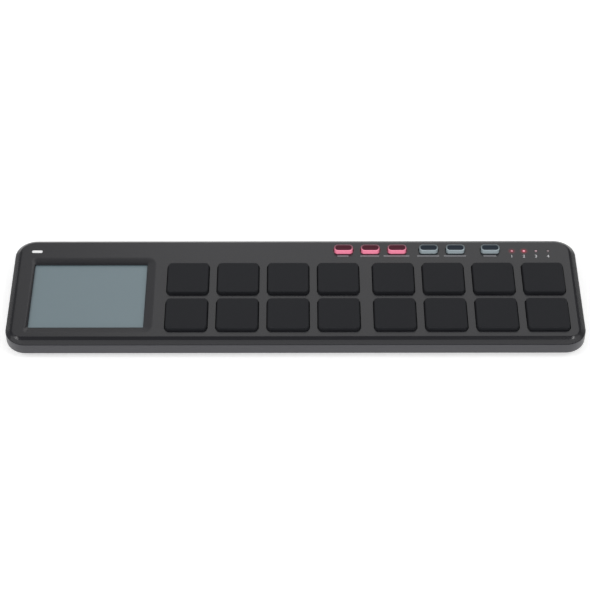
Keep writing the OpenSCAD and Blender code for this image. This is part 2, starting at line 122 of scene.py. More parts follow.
# %% Rings and quads
def carried(outline, profile, second=None, share=0):
    """Rings of a profile carried round an outline: outline point minus inset times its
    normal, at the profile's height. Shape (rings, points, 3). Where the outline's points
    have a share of a second profile, theirs is the mean of both by that share."""
    points, normal = outline
    first = np.asarray(profile, float)[:, None]
    other = first if second is None else np.asarray(second, float)[:, None]
    blend = first + (other - first) * np.broadcast_to(share, len(points))[:, None]
    return np.concatenate([points - blend[..., :1] * normal, blend[..., 1:]], axis=2)


def shrunk(ring, scales, heights):
    """Rings that shrink a closed ring towards its middle by the scales, at the heights; a
    scale of 0 closes the surface in a pole."""
    middle = ring[:, :2].mean(0)
    flat = middle + np.asarray(scales)[:, None, None] * (ring[:, :2] - middle)
    lift = np.broadcast_to(np.asarray(heights, float)[:, None, None], flat.shape[:2] + (1,))
    return np.concatenate([flat, lift], axis=2)


def skin(rings):
    """Vertices and quads of a stack of closed rings; the last column joins the first."""
    rows, columns = rings.shape[:2]
    row, column = np.meshgrid(np.arange(rows - 1), np.arange(columns), indexing="ij")
    here = row * columns + column
    beside = row * columns + (column + 1) % columns
    quads = np.stack([here, beside, beside + columns, here + columns], axis=-1)
    return rings.reshape(-1, 3), quads.reshape(-1, 4)


sample = carried(rounded_outline(2, 1, 0.2), [(0, 0), (0, 1)])
print("quads between two such rings:", len(skin(sample)[1]))

# %% [markdown]
# A flat panel full of holes isn't a grid. It is the area between one outer ring and the
# rings round its holes, so a constrained Delaunay triangulation fills it, with the rings as
# fixed edges. Because the same rings start the rounded hole edges, the fill and the edges
# share their points, and merging them closes the shell. Each profile keeps a short flat
# lead beside the fill, so that the large triangles stay flat in smooth shading.

# %% Fills
INSIDE_OUTLINES = 1
SAME_POINT = 1e-7


def filled(rings):
    """Flat triangles inside the first ring and outside the others, which are holes in it:
    a constrained triangulation that keeps the faces lying in the first ring alone."""
    sizes = [len(ring) for ring in rings]
    loops = np.split(np.arange(sum(sizes)), np.cumsum(sizes)[:-1])
    loops = [loop.tolist() for loop in loops]
    flat = np.vstack(rings)[:, :2].tolist()
    vertices, _, faces, _, _, origin = delaunay_2d_cdt(flat, [], loops, INSIDE_OUTLINES, SAME_POINT)
    points = np.column_stack([vertices, np.full(len(vertices), rings[0][0, 2])])
    inside = [face for face, held in zip(faces, origin) if list(held) == [0]]
    return points, np.array(inside)


square = carried(rounded_outline(2, 2, 0.5), [(0, 0), (0.3, 0)])
print("triangles in a square frame:", len(filled(square)[1]))

# %% [markdown]
# Finished pieces. A piece is one closed mesh with one finish, and it rides on the body that
# moves it. Parts that were computed separately are welded where their points meet, and the
# normals are turned outwards afterwards. Smooth shading runs over the rounded edges and
# stops where two faces meet at a sharp angle.

# %% Finished pieces
WELD_MM = 0.0005
SHARP_ANGLE = radians(40)


def closed_mesh(name, parts):
    """One closed mesh from (vertices, faces) parts in millimetres: joined, merged where they
    meet, and turned outwards."""
    mesh = bpy.data.meshes.new(name)
    first = np.cumsum([0] + [len(vertices) for vertices, _ in parts])
    vertices = np.vstack([vertices for vertices, _ in parts]) * MM
    faces = [face for (_, own), n in zip(parts, first) for face in (own + n).tolist()]
    mesh.from_pydata(vertices, [], faces)
    work = bmesh.new()
    work.from_mesh(mesh)
    bmesh.ops.remove_doubles(work, verts=work.verts, dist=WELD_MM * MM)
    bmesh.ops.recalc_face_normals(work, faces=work.faces)
    open_edges = sum(not edge.is_manifold for edge in work.edges)
    work.to_mesh(mesh)
    work.free()
    print(f"{name}: {len(mesh.polygons)} faces, {open_edges} open edges")
    return mesh


def made(name, body, material, parts):
    """A piece that rides on a body and has one finish, smooth except where its faces meet
    at a sharp angle."""
    mesh = closed_mesh(name, parts)
    mesh.shade_smooth()
    mesh.set_sharp_from_angle(angle=SHARP_ANGLE)
    mesh.materials.append(material)
    piece = bpy.data.objects.new(name, mesh)
    scene.collection.objects.link(piece)
    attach(piece, body)
    return piece


def positions(mesh):
    """A mesh's vertices as one array of rows (x, y, z)."""
    points = np.empty(3 * len(mesh.vertices))
    mesh.vertices.foreach_get("co", points)
    return points.reshape(-1, 3)


print("welded below", WELD_MM, "mm")

# %% [markdown]
# Finishes. The case is moulded ABS with a fine spark-eroded grain, the pads are matte
# silicone, the buttons are tinted polycarbonate that glows from a lamp on the board. All of
# them are dielectrics: a colour, a roughness and a little relief. The relief is a noise
# whose scale comes from the grain's real size. A second, much larger noise shifts colour
# and roughness by a few percent, as handling and moulding do, so no surface is one flat tone.

# %% Colour and node helpers
def linear(hex_code):
    """sRGB hex colour to linear RGBA."""
    value = np.array([int(hex_code[i:i + 2], 16) for i in (1, 3, 5)]) / 255
    value = np.where(value <= 0.04045, value / 12.92, ((value + 0.055) / 1.055) ** 2.4)
    return (*value.tolist(), 1.0)


def add(tree, kind, settings, links=None):
    """Adds a node, sets its options and input values, and links its inputs."""
    node = tree.nodes.new(kind)
    for key, value in settings.items():
        if isinstance(key, str) and hasattr(node, key):
            setattr(node, key, value)
        else:
            node.inputs[key].default_value = value
    for key, source in (links or {}).items():
        tree.links.new(source, node.inputs[key])
    return node


print("half white in linear light:", round(linear("#808080")[0], 3))

# %% A moulded or printed finish
MIX_A, MIX_B, MIX_RESULT = 6, 7, 2


def finish(name, colour, second, roughness, grain_mm, relief_mm, drift_mm=40, **sockets):
    """Material whose colour drifts between two hex tones over drift_mm, whose roughness
    drifts by a tenth with it, and whose surface has a grain of grain_mm and relief_mm."""
    material = bpy.data.materials.new(name)
    material.use_nodes = True
    tree = material.node_tree
    shader = tree.nodes["Principled BSDF"]
    place = add(tree, "ShaderNodeTexCoord", {})
    drift = add(tree, "ShaderNodeTexNoise", {"Scale": 1 / (drift_mm * MM), "Detail": 3.0},
                {"Vector": place.outputs["Object"]})
    grain = add(tree, "ShaderNodeTexNoise", {"Scale": 1 / (grain_mm * MM), "Detail": 2.0},
                {"Vector": place.outputs["Object"]})
    tone = add(tree, "ShaderNodeMix",
               {"data_type": "RGBA", MIX_A: linear(colour), MIX_B: linear(second)},
               {"Factor": drift.outputs["Fac"]})
    rough = add(tree, "ShaderNodeMapRange",
                {"To Min": roughness * 0.9, "To Max": roughness * 1.1},
                {"Value": drift.outputs["Fac"]})
    bump = add(tree, "ShaderNodeBump", {"Strength": 1.0, "Distance": relief_mm * MM},
               {"Height": grain.outputs["Fac"]})
    tree.links.new(tone.outputs[MIX_RESULT], shader.inputs["Base Color"])
    tree.links.new(rough.outputs["Result"], shader.inputs["Roughness"])
    tree.links.new(bump.outputs["Normal"], shader.inputs["Normal"])
    for key, value in sockets.items():
        shader.inputs[key.replace("_", " ")].default_value = value
    return material


print("a grain of 0.35 mm is a noise scale of", round(1 / (0.35 * MM)))

# %% [markdown]
# Light. A lit button is brightest where it lies nearest to its lamp, and a little of its light
# falls on the plastic round it. Lamps hidden in the case could do this, but they would be noisy and
# slow. Instead each vertex stores how brightly it shines, as an attribute named glow, and the
# material turns that number into emission and into a paler colour. On the panel round the buttons,
# and on parts whose lamp is off, that glow is painted light.

# %% Finishes that shine
def shining(material, colour, strength):
    """Gives a finish an emission of the hex colour, as strong as the piece's glow attribute."""
    tree = material.node_tree
    shader = tree.nodes["Principled BSDF"]
    glow = add(tree, "ShaderNodeAttribute", {"attribute_name": "glow"})
    power = add(tree, "ShaderNodeMath", {"operation": "MULTIPLY", 1: strength},
                {0: glow.outputs["Fac"]})
    shader.inputs["Emission Color"].default_value = linear(colour)
    tree.links.new(power.outputs[0], shader.inputs["Emission Strength"])
    return glow


def lit(name, dim, bright, strength, roughness):
    """Clear plastic that shines where its glow attribute is high: the colour runs from a dim
    to a bright hex tone with the glow, and so does the emission."""
    material = finish(name, dim, bright, roughness, grain_mm=1.2, relief_mm=0.004, drift_mm=4,
                      IOR=1.58)
    tree = material.node_tree
    shader = tree.nodes["Principled BSDF"]
    glow = shining(material, bright, strength)
    tone = shader.inputs["Base Color"].links[0].from_node
    tree.links.new(glow.outputs["Fac"], tone.inputs["Factor"])
    tree.links.new(tone.outputs[MIX_RESULT], shader.inputs["Emission Color"])
    return material


def marked(piece, glow):
    """Stores how brightly each vertex shines, 0 to 1, as an attribute for the finish; glow
    is a function of the vertex positions in millimetres."""
    layer = piece.data.attributes.new("glow", "FLOAT", "POINT")
    layer.data.foreach_set("value", np.clip(glow(positions(piece.data) / MM), 0, 1))


print("a shining finish reads the attribute glow, 0 to 1")

# %% Finishes of the visible parts
# Spark-eroded ABS: dark grey, satin. The real grain is about 0.1 mm, drawn here at 0.35 mm
# so that it shows at all.
panel_abs = finish("moulded_abs_panel", "#19191e", "#1d1d22", 0.26, 0.35, 0.004, IOR=1.5)
# Painted light: a faint red emission on the panel round the lit buttons and lights stands in for
# their light spilling onto it.
shining(panel_abs, "#ff1848", 0.2)
# The lower shell: the same plastic in a paler grey, and a little duller.
wall_abs = finish("moulded_abs_wall", "#3c3c41", "#414146", 0.38, 0.35, 0.004, IOR=1.58)
# Silicone keys: charcoal, nearly without gloss, with a dusty bloom.
pad_silicone = finish("matte_silicone", "#1f2024", "#232428", 0.7, 0.5, 0.006, IOR=1.41,
                      Specular_IOR_Level=0.4)
# Moulded rubber: black and dull, with a pebbled surface that grips.
foot_rubber = finish("foot_rubber", "#1b1b1d", "#222224", 0.8, 0.6, 0.02, 12, IOR=1.5)
# Hard-coated polyester film over the sensor: cool grey with a fine matte coat.
touch_coat = finish("hard_coated_film", "#73858c", "#798b92", 0.34, 0.3, 0.002, 90, IOR=1.57)
# Tinted polycarbonate. Where the lamp below shines out, the glow attribute is high. On the unlit
# buttons there is no lamp, and their glow is painted light: a paler, faintly shining front wall.
lens_lit = lit("lit_pink_polycarbonate", "#783c4c", "#f489a6", 0.48, 0.35)
lens_unlit = lit("unlit_polycarbonate_painted_glow", "#4d5a60", "#b2c0c6", 0.13, 0.3)
# Button caps: opaque and matte, so that the light shows only round them. The rose tone on the lit
# buttons is painted light from the lamp below; the same cap is slate on the unlit ones.
cap_lit = finish("button_cap_painted_lamp_tint", "#4f1a2a", "#561d2e", 0.5, 0.4, 0.004, 6, IOR=1.45,
                 Specular_IOR_Level=0.2)
cap_unlit = finish("slate_button_cap", "#212a35", "#252f3a", 0.5, 0.4, 0.004, 6, IOR=1.45,
                   Specular_IOR_Level=0.2)
# Clear light guides, from the brightest to the one that is off. The one that is off still shines
# faintly in its middle, which is painted light.
power_glow = lit("lit_white_polycarbonate", "#e8eaec", "#ffffff", 0.1, 0.3)
light_bright = lit("light_guide_lit", "#c2103f", "#ffb8ca", 0.5, 0.25)
light_dim = lit("light_guide_dim", "#7d1c33", "#e8a0b0", 0.35, 0.25)
light_faint = lit("light_guide_faint", "#5d4148", "#c4a8b0", 0.2, 0.25)
light_off = lit("light_guide_off_painted_glow", "#55494d", "#96888d", 0.1, 0.25)
# Screen inks: a thin matte layer that fills the panel's grain.
ink = finish("screen_print_ink", "#7c7c80", "#86868a", 0.6, 0.4, 0.003, 10, IOR=1.5)
white_ink = finish("white_print_ink", "#ececf0", "#f4f4f6", 0.6, 0.4, 0.003, 10, IOR=1.5)
print("materials:", len(bpy.data.materials))

# %% [markdown]
# Before the first shell, its levels and its plan are read from the solids, so that the
# dressed part can't drift away from them. Only the small sizes that a box doesn't tell, such
# as the panel's thickness, are written here again. All sizes are millimetres.

# %% Levels and plan of the case
CORNER_R = 12.0
PANEL_T = 2.0
RIM_HEIGHT = 2.7
TONGUE_DROP = 2.0
FRAME_DROP = 1.6
TOUCH_TUCK = 1.3


def box_mm(node):
    """Lowest and highest corner of a solid, in millimetres."""
    low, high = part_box(node)
    return np.array(low) / MM, np.array(high) / MM


def middle_mm(node):
    """Middle of a solid in plan, in millimetres."""
    low, high = box_mm(node)
    return (low[:2] + high[:2]) / 2


cover_low, cover_high = box_mm("top_cover")
case_low, case_high = box_mm("bottom_cover")
case_w, case_d = (cover_high - cover_low)[:2]
panel_z = cover_high[2]
under_z = panel_z - PANEL_T
shut_z = panel_z - RIM_HEIGHT
tongue_z = shut_z - TONGUE_DROP
film_low, film_high = box_mm("touch_film")
film_z = film_high[2]
frame_z = film_z - FRAME_DROP
touch_w, touch_d = (film_high - film_low)[:2] - 2 * TOUCH_TUCK
case_outline = rounded_outline(case_w, case_d, CORNER_R, steps=20)
print("case:", np.round([case_w, case_d, panel_z], 2), "touch:", np.round([touch_w, touch_d], 2))

# %% [markdown]
# The top cover is the part that the eye meets first: a flat panel on a sloped rim, with
# holes for everything that is pressed or seen. The rim is one profile carried round the
# case, from the panel out over the slope and the shoulder to the shut line, then in under
# the edge and down the tongue that locates it in the lower shell. The slope and the shoulder
# meet at a soft corner, because a mould never leaves a knife edge. At the left and right the
# shoulder is wider and the slope flatter, so a second profile is blended in there. At the
# front corners the panel's edge turns more tightly than the case, so the shoulder narrows
# a little there.

# %% Rim
FRONT_RIM = {"shoulder_run": 2.2, "slope_run": 1.8, "slope_drop": 0.9}
SIDE_RIM = {"shoulder_run": 2.9, "slope_run": 1.3, "slope_drop": 0.55}
RIM_RADII = [1.2, 0.8, 0.12, 0.1, 0.2, 0.2, 0.2]
RIM_LEAD = 5.2
TONGUE_NEAR, TONGUE_FAR = 2.5, 4.0
TIGHTER = 0.7


def rim_profile(shoulder_run, slope_run, slope_drop):
    """Corners from the panel over the slope and shoulder to the tongue's inside, softened."""
    return softened(
        [(RIM_LEAD, panel_z), (shoulder_run + slope_run, panel_z),
         (shoulder_run, panel_z - slope_drop), (0, shut_z), (TONGUE_NEAR, shut_z),
         (TONGUE_NEAR, tongue_z), (TONGUE_FAR, tongue_z), (TONGUE_FAR, under_z),
         (RIM_LEAD, under_z)],
        RIM_RADII)


def rim_rings():
    """The rim's rings, a little wider at the sides. Going in, the front corners' radius
    shrinks faster than the inset grows: a point moves by the extra times its corner's
    diagonal minus its normal, which leaves the straight sides where they are."""
    points, normal = case_outline
    rings = carried(case_outline, rim_profile(**FRONT_RIM), rim_profile(**SIDE_RIM),
                    normal[:, 0] ** 2)
    inset = ((points - rings[..., :2]) * normal).sum(2, keepdims=True)
    rings[..., :2] += TIGHTER * inset * (np.sign(points) - normal) * (points[:, 1:] < 0)
    return rings


rim = rim_rings()
print("rim:", len(rim), "rings of", rim.shape[1], "points")

# %% [markdown]
# The holes. Each is a rounded rectangle whose edge is broken by a tiny radius: a sharp edge would
# look cut out with scissors. A hole could also be cut with a boolean, but then its rounded edge
# would need a bevel afterwards. Round the lit parts the flat lead is longer and has more rings,
# because the panel's painted red glow is stored in its vertices.

# %% Holes in the panel
HOLE_LEAD = 0.6
LEAD_RINGS = (1, 0.8, 0.6, 0.45)
PAD_OPENING, PAD_OPENING_R = 24.3, 2.7
BUTTON_W, BUTTON_D, BUTTON_R, BUTTON_GAP = 10.8, 5.0, 2.0, 0.35
LIGHT_D, LIGHT_GAP, LIGHT_FLANGE = 1.8, 0.1, 0.6
POWER_W, POWER_D, POWER_R = 6.0, 2.0, 0.7
BUTTON_BLEED, LIGHT_BLEED = 1.2, 2.0
KEY_HOLE_EDGE, LIGHT_HOLE_EDGE, UNDER_EDGE = 0.12, 0.1, 0.1


def hole(width, depth, radius, centre, edge, steps=8, lead=HOLE_LEAD):
    """Rings of a hole through the panel: a flat lead, a rounded edge, the wall, and a flat
    lead on the underside."""
    profile = softened(
        [(-lead * LEAD_RINGS[-1], panel_z), (0, panel_z), (0, under_z),
         (-HOLE_LEAD, under_z)],
        [edge, UNDER_EDGE])
    flat = [(-lead * share, panel_z) for share in LEAD_RINGS[:-1]]
    outline = rounded_outline(width, depth, radius, centre, steps)
    return carried(outline, np.vstack([flat, profile]))


pads = [f"pad_{k}" for k in range(1, 17)]
lenses = [f"button_lens_{k}" for k in range(1, 7)]
light_low, light_high = box_mm("channel_lights")
light_y = middle_mm("channel_lights")[1]
light_end = LIGHT_D / 2 + LIGHT_FLANGE
light_x = np.linspace(light_low[0] + light_end, light_high[0] - light_end, 4)
power_x, power_y = middle_mm("power_lens")

button_hole = (BUTTON_W + 2 * BUTTON_GAP, BUTTON_D + 2 * BUTTON_GAP, BUTTON_R + BUTTON_GAP)
light_hole = (LIGHT_D + 2 * LIGHT_GAP, LIGHT_D + 2 * LIGHT_GAP, LIGHT_D / 2 + LIGHT_GAP)
power_hole = (POWER_W + 2 * LIGHT_GAP, POWER_D + 2 * LIGHT_GAP, POWER_R + LIGHT_GAP)
holes = [hole(PAD_OPENING, PAD_OPENING, PAD_OPENING_R, middle_mm(name), KEY_HOLE_EDGE)
         for name in pads]
holes += [hole(*button_hole, middle_mm(name), KEY_HOLE_EDGE, 12, BUTTON_BLEED)
          for name in lenses]
holes += [hole(*light_hole, (x, light_y), LIGHT_HOLE_EDGE, 8, LIGHT_BLEED) for x in light_x]
holes += [hole(*power_hole, (power_x, power_y), LIGHT_HOLE_EDGE)]
print("holes:", len(holes))

# %% [markdown]
# The touch surface lies sunk in the panel. A wide, shallow bevel leads the finger down to
# it on three sides, and a narrow one at the left. The bevel leaves the panel softly and ends
# in a rounded lip above the film, so it shows as an even band with a thin dark line inside.
# Below the lip the profile goes on to the frame that holds the film from underneath.

# %% Touch recess
BEVEL_RUN, LEFT_BEVEL_RUN, BEVEL_DEPTH, BEVEL_POWER = 5.1, 1.5, 0.7, 1.2
BEVEL_LEAD, BEVEL_START = 0.8, 0.15
RECESS_R = 0.5
RECESS_RADII = [0.5, 0.1, 0.1, 0.1, 0.1, 0.1]
TUCK_ROOM = 0.2
FRAME_WALL, FRAME_LEAD = 4.0, 0.5


def recess_profile(run):
    """Bevel down to the film's step, z falling with a power of the way in that is a little
    over 1, so that it leaves the panel softly; then the step, the tuck and the frame."""
    t = np.linspace(0, 1, 10)
    roll = np.stack([-run * (1 - t), panel_z - BEVEL_DEPTH * t**BEVEL_POWER], axis=1)
    tuck = -TOUCH_TUCK - TUCK_ROOM
    step = softened(
        [roll[-3], roll[-1], (0, film_z), (tuck, film_z), (tuck, frame_z),
         (-FRAME_WALL, frame_z), (-FRAME_WALL, under_z), (-FRAME_WALL - FRAME_LEAD, under_z)],
        RECESS_RADII)
    lead = [(-BEVEL_RUN - BEVEL_LEAD, panel_z), (-run - BEVEL_START, panel_z)]
    return np.vstack([lead, roll[:-3], step])


touch_outline = rounded_outline(touch_w, touch_d, RECESS_R, middle_mm("touch_film"), 6)
to_the_left = np.clip(-touch_outline[1][:, 0], 0, 1) ** 2
recess = carried(touch_outline, recess_profile(BEVEL_RUN), recess_profile(LEFT_BEVEL_RUN),
                 to_the_left)
print("recess:", len(recess), "rings, film", round(panel_z - film_z, 2), "mm below the panel")

# %% Top cover
top_rings = [rim, *holes, recess]
top_parts = [skin(rings) for rings in top_rings]
top_parts += [filled([rings[end] for rings in top_rings]) for end in (0, -1)]
top_cover = made("top_shell", "case", panel_abs, top_parts)
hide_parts("top_cover")

# %% [markdown]
# Round the three lit buttons and the first two channel lights the panel gets a faint red glow. This
# is painted light, standing in for the red light that spills from them onto the dark plastic. The
# glow depends only on the distance to the lit part, so it is a short formula over all vertices at
# once.

# %% Painted red spill on the panel
LIT_BUTTONS = 3
BUTTON_SHARE, LIGHT_SHARES = 0.6, (0.6, 1.0)
GLOW_DEPTH = 0.3


def bleed(points):
    """Painted red glow of the panel, standing in for spilled light: 1 at the edge of a lit part,
    falling with the square of the way out, to 0 at the end of its hole's lead, times the part's own
    share."""
    lamps = [(middle_mm(name), (BUTTON_W, BUTTON_D), BUTTON_R, BUTTON_BLEED, BUTTON_SHARE)
             for name in lenses[:LIT_BUTTONS]]
    lamps += [((x, light_y), (LIGHT_D, LIGHT_D), LIGHT_D / 2, LIGHT_BLEED, share)
              for x, share in zip(light_x, LIGHT_SHARES)]
    glow = np.zeros(len(points))
    for centre, size, radius, reach, share in lamps:
        beyond = np.abs(points[:, :2] - centre) - np.array(size) / 2 + radius
        away = np.hypot(*np.maximum(beyond, 0).T) - radius
        glow = np.maximum(glow, share * np.clip(1 - away / reach, 0, 1) ** 2)
    return glow * (points[:, 2] > panel_z - GLOW_DEPTH)


# Painted light: stores the panel's red spill round the lit parts as its glow.
marked(top_cover, bleed)
print("glowing points:", np.count_nonzero(bleed(positions(top_cover.data) / MM)))

# %% [markdown]
# The lower shell stands upright for most of its height, which is the paler band under the
# shut line, and then slopes in towards the feet, so the case seems to float. Its underside
# has round pockets for the rubber feet and deeper ones for the screws, and their places are
# read from the solids.

# %% Lower shell's profile
WALL_T = 2.2
FLOOR_T = 2.0
BELLY_RUN, BELLY_H = 5.0, 3.1
FLOOR_LEAD, INSIDE_LEAD = 5.25, 0.5
SHELL_RADII = [0.6, 0.8, 0.12, 0.2, 0.5, 0.5]

base_z, wall_top = case_low[2], case_high[2]
floor_z = base_z + FLOOR_T
inner_shift = FLOOR_T * np.hypot(BELLY_RUN, BELLY_H) / BELLY_H
inner_z = base_z + BELLY_H * (1 - (WALL_T - inner_shift) / BELLY_RUN)
inner_run = BELLY_RUN * (1 - FLOOR_T / BELLY_H) + inner_shift
shell_profile = softened(
    [(FLOOR_LEAD, base_z), (BELLY_RUN, base_z), (0, base_z + BELLY_H), (0, wall_top),
     (WALL_T, wall_top), (WALL_T, inner_z), (inner_run, floor_z),
     (inner_run + INSIDE_LEAD, floor_z)],
    SHELL_RADII)
shell = carried(case_outline, shell_profile)
print("lower shell:", len(shell), "rings, from", round(base_z, 2), "to", round(wall_top, 2), "mm")

# %% Feet and screw pockets
FOOT_POCKET = (10.3, 0.6)
SCREW_POCKET = (4.4, 1.6)
POCKET_LEAD, POCKET_EDGE = 0.15, 0.1
SOLID_REACH = 10.5


def solid_middles(node):
    """Middles in plan, in millimetres, of the separate solids in a node: each vertex joins
    the first one within a reach that is wider than a solid and narrower than the gaps."""
    points = positions(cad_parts[node].data)[:, :2] / MM
    near = np.linalg.norm(points[:, None] - points[None], axis=2) < SOLID_REACH
    return np.array([points[near[first]].mean(0) for first in np.unique(near.argmax(1))])


def pocket(diameter, depth, centre):
    """Rings of a round pocket in the underside, closed at its end by a pole."""
    profile = softened([(-POCKET_LEAD, base_z), (0, base_z), (0, base_z + depth)],
                       [POCKET_EDGE])
    walls = carried(rounded_outline(diameter, diameter, diameter / 2, centre, 8), profile)
    end = shrunk(walls[-1], [0.5, 0.0], [base_z + depth] * 2)
    return np.concatenate([walls, end])


foot_middles = solid_middles("rubber_feet")
screw_middles = solid_middles("case_screws")
pockets = [pocket(*FOOT_POCKET, centre) for centre in foot_middles]
pockets += [pocket(*SCREW_POCKET, centre) for centre in screw_middles]
print("feet:", len(foot_middles), "screws:", len(screw_middles))

# %% Bottom cover
bottom_parts = [skin(rings) for rings in [shell, *pockets]]
bottom_parts += [filled([rings[0] for rings in [shell, *pockets]]), filled([shell[-1]])]
bottom_cover = made("bottom_shell", "case", wall_abs, bottom_parts)
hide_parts("bottom_cover")

# %% [markdown]
# The cable port is an opening in the back wall with a broken edge. It is cut last, with a
# rounded block and a boolean, because that is simpler than leaving a gap in a carried
# profile. The top cover's tongue gets a notch there too, to let the plug past.

# %% Cable port
PORT_W, PORT_H, PORT_R, PORT_EDGE = 10.6, 4.8, 0.8, 0.3
PORT_REACH, PORT_CLEAR = 3.7, 1.0
NOTCH_SIDE, NOTCH_H, NOTCH_R, NOTCH_LIFT = 1.0, 2.7, 0.2, 0.35
NOTCH_FROM, NOTCH_TO = 4.5, 0.5


def block_along_y(width, height, radius, centre, reach):
    """Closed block whose cross-section is a rounded rectangle in X and Z, carried along Y by
    a list of (inset, y) points."""
    rings = carried(rounded_outline(width, height, radius, centre, 6), reach)
    ends = [shrunk(rings[end], [0.0], [reach[end][1]]) for end in (0, -1)]
    return skin(np.concatenate([ends[0], rings, ends[1]])[..., [0, 2, 1]])


def cut(piece, parts):
    """Takes the solid made of parts out of a piece, with an exact boolean."""
    tool = bpy.data.objects.new("cutter", closed_mesh("cutter", parts))
    scene.collection.objects.link(tool)
    taken = piece.modifiers.new("cut", "BOOLEAN")
    taken.object, taken.solver = tool, "EXACT"
    view = bpy.context.evaluated_depsgraph_get()
    mesh = bpy.data.meshes.new_from_object(piece.evaluated_get(view))
    mesh.set_sharp_from_angle(angle=SHARP_ANGLE)
    piece.modifiers.clear()
    piece.data = mesh
    bpy.data.objects.remove(tool)
    print(f"{piece.name} after its cut: {len(mesh.polygons)} faces")


socket_low, socket_high = box_mm("usb_socket_shell")
port_x, _, port_z = (socket_low + socket_high) / 2
back = cover_high[1]
mouth = [(0, back - PORT_REACH), (0, back - PORT_EDGE), (-PORT_EDGE, back),
         (-PORT_EDGE, back + PORT_CLEAR)]
cut(bottom_cover, [block_along_y(PORT_W, PORT_H, PORT_R, (port_x, port_z), mouth)])
notch = [(0, back - NOTCH_FROM), (0, back - NOTCH_TO)]
notch_w, notch_centre = PORT_W + 2 * NOTCH_SIDE, (port_x, tongue_z + NOTCH_LIFT)
cut(top_cover, [block_along_y(notch_w, NOTCH_H, NOTCH_R, notch_centre, notch)])

# %% [markdown]
# A pad is a silicone key: a square block with generous corners, a rounded top edge and walls
# that lean in slightly so that it leaves its mould, on a wider flange that the panel traps.
# Its top is barely crowned. The crown is far too slight to see as a shape, but it makes the
# light run softly over the top instead of stopping dead.

# %% Pads
PAD_W, PAD_R, PAD_EDGE = 23.7, 2.4, 0.9
PAD_CROWN, PAD_LEAN, PAD_RISE = 0.12, 0.3, 0.2
PAD_UNDER_LEAD, PAD_TOP_LEAD, PAD_WALL_FOOT = 0.5, 2.3, 0.5
PAD_RADII = [0.2, 0.2, 0.2, 0.3, PAD_EDGE]
FOOT_H, FLANGE_T = 1.2, 1.6

pad_low, pad_high = box_mm("pad_1")
flange_low = pad_low[2] + FOOT_H
flange_top = flange_low + FLANGE_T
pad_flange = (pad_high[0] - pad_low[0] - PAD_W) / 2


def pad_rings(centre, top):
    """A pad's rings from the pole under it, round its flange and wall, to the pole on top;
    the crown falls with the square of the way from the middle."""
    edge_z = top - PAD_CROWN
    profile = softened(
        [(PAD_UNDER_LEAD, flange_low), (-pad_flange, flange_low), (-pad_flange, flange_top),
         (0, flange_top), (0, panel_z - PAD_WALL_FOOT), (PAD_LEAN, edge_z),
         (PAD_TOP_LEAD, edge_z)],
        PAD_RADII, 7)
    wall = carried(rounded_outline(PAD_W, PAD_W, PAD_R, centre, 10), profile)
    scale = np.linspace(1, 0, 9)
    crown = shrunk(wall[-1], scale, top - PAD_CROWN * scale**2)
    under = shrunk(wall[0], [0.0, 0.6], [flange_low] * 2)
    return np.concatenate([under, wall, crown[1:]])


for name in pads:
    rings = pad_rings(middle_mm(name), box_mm(name)[1][2] + PAD_RISE)
    key = made(f"{name}_key", name, pad_silicone, [skin(rings)])
    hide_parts(name)

# %% [markdown]
# A button is a clear body with a dark cap let into its top, so the lamp below shows as a glowing
# rim. Both are rounded rectangles, and the cap sits nearer to the front, which leaves a wider rim
# behind it. So the rings run from the body's outline to the cap's own outline, point for point. The
# glow is strongest at the front wall, which is the bright band that the camera sees. On the three
# unlit buttons the same glow is painted light, since no lamp shines there.

# %% Button bodies and caps
CAP_W, CAP_D, CAP_R, CAP_T, CAP_GAP = 9.4, 3.8, 1.6, 0.9, 0.05
CAP_RADII, CAP_UNDER_LEAD, CAP_TOP_LEAD = [0.05, 0.25], 0.4, 0.6
CAP_DISH = np.array([0.05, 0.08, 0.1])
LENS_FLANGE, LENS_UNDER_LEAD, LENS_TOP_LEAD = 0.9, 0.4, 0.3
LENS_RADII = [0.2, 0.2, 0.2, 0.25]


def lens_rings(centre, cap_centre, top):
    """A button's rings from the pole under it, round its flange and wall, over the rim, and
    down into the seat of the cap, which a pole closes."""
    body = carried(rounded_outline(BUTTON_W, BUTTON_D, BUTTON_R, centre, 14), softened(
        [(LENS_UNDER_LEAD, flange_low), (-LENS_FLANGE, flange_low),
         (-LENS_FLANGE, flange_top), (0, flange_top), (0, top), (LENS_TOP_LEAD, top)],
        LENS_RADII))
    seat_size = np.array([CAP_W, CAP_D]) + 2 * CAP_GAP
    seat = carried(rounded_outline(*seat_size, CAP_R + CAP_GAP, cap_centre, 14),
                   [(0, top), (0, top - CAP_T)])
    floor = shrunk(seat[-1], [0.5, 0.0], [top - CAP_T] * 2)
    under = shrunk(body[0], [0.0, 0.6], [flange_low] * 2)
    return np.concatenate([under, body, seat, floor])


def cap_rings(centre, top):
    """A cap's rings from the pole under it to the pole of its slightly dished top."""
    wall = carried(rounded_outline(CAP_W, CAP_D, CAP_R, centre, 14), softened(
        [(CAP_UNDER_LEAD, top - CAP_T), (0, top - CAP_T), (0, top), (CAP_TOP_LEAD, top)],
        CAP_RADII))
    dish = shrunk(wall[-1], [0.6, 0.3, 0.0], top - CAP_DISH)
    under = shrunk(wall[0], [0.0, 0.5], [top - CAP_T] * 2)
    return np.concatenate([under, wall, dish])


